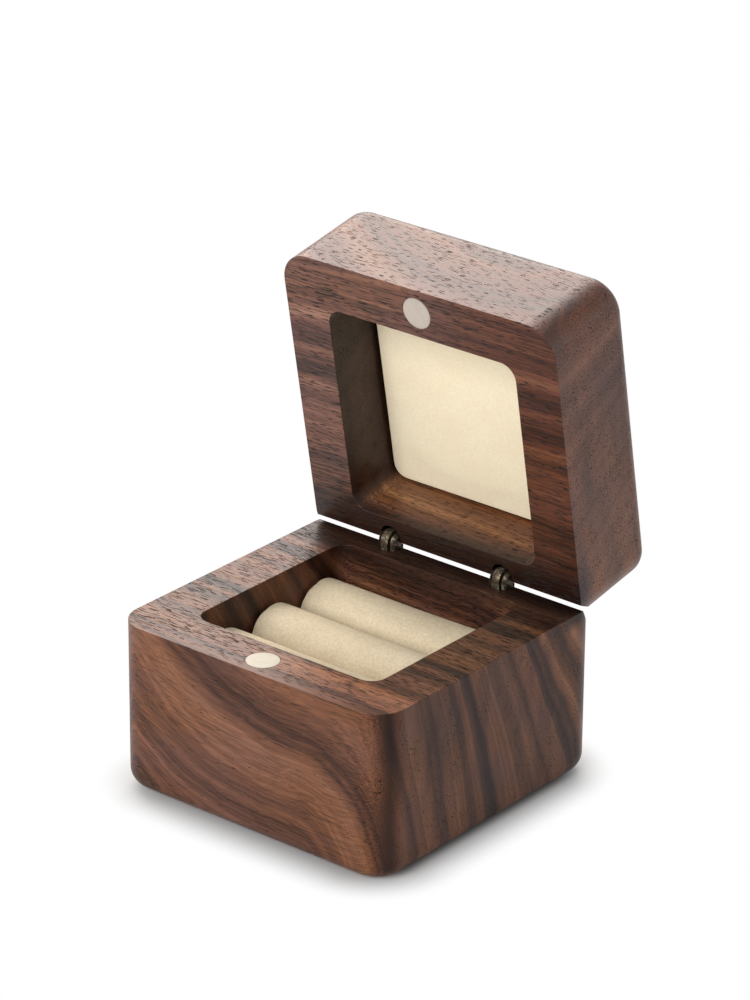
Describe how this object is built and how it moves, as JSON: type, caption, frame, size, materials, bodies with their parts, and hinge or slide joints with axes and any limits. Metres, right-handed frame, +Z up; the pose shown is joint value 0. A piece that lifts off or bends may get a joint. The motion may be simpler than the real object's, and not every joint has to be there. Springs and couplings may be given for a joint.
{
  "type": "wooden jewelry box",
  "caption": "Small square walnut jewelry box with a barrel-hinged lid, a magnetic closure, velvet ring rolls in the base and a suede pad in the lid.",
  "frame": {"origin": "middle of the base's underside, on the table", "axes": "+X to the box's right, +Y to the rear where the hinges are, +Z up"},
  "size_m": [0.06, 0.0746, 0.0906],
  "materials": {
    "walnut": "oiled satin",
    "magnet": "bright nickel plate",
    "hinge_bronze": "dark antique bronze",
    "hinge_pin": "plain",
    "velvet": "short cream pile",
    "suede": "smooth cream microsuede",
    "foam": "open cell",
    "card": "grey board"
  },
  "bodies": {
    "base": {"base_body": "walnut", "base_magnet": "magnet", "insert_card": "card", "hinge_left_base_barrel": "hinge_bronze", "hinge_right_base_barrel": "hinge_bronze", "ring_roll_front_core": "foam", "ring_roll_front_sleeve": "velvet", "ring_roll_middle_core": "foam", "ring_roll_middle_sleeve": "velvet", "ring_roll_rear_core": "foam", "ring_roll_rear_sleeve": "velvet"},
    "lid": {"lid_body": "walnut", "lid_magnet": "magnet", "lid_pad_card": "card", "lid_pad_foam": "foam", "lid_pad_suede": "suede", "hinge_left_lid_barrel": "hinge_bronze", "hinge_left_pin": "hinge_pin", "hinge_right_lid_barrel": "hinge_bronze", "hinge_right_pin": "hinge_pin"}
  },
  "joints": [
    {"name": "lid_hinge", "type": "hinge", "parent": "base", "child": "lid", "pos_m": [0, 0.02537, 0.03319], "axis": [-1, 0, 0], "range_deg": [-79.4, 0]}
  ]
}
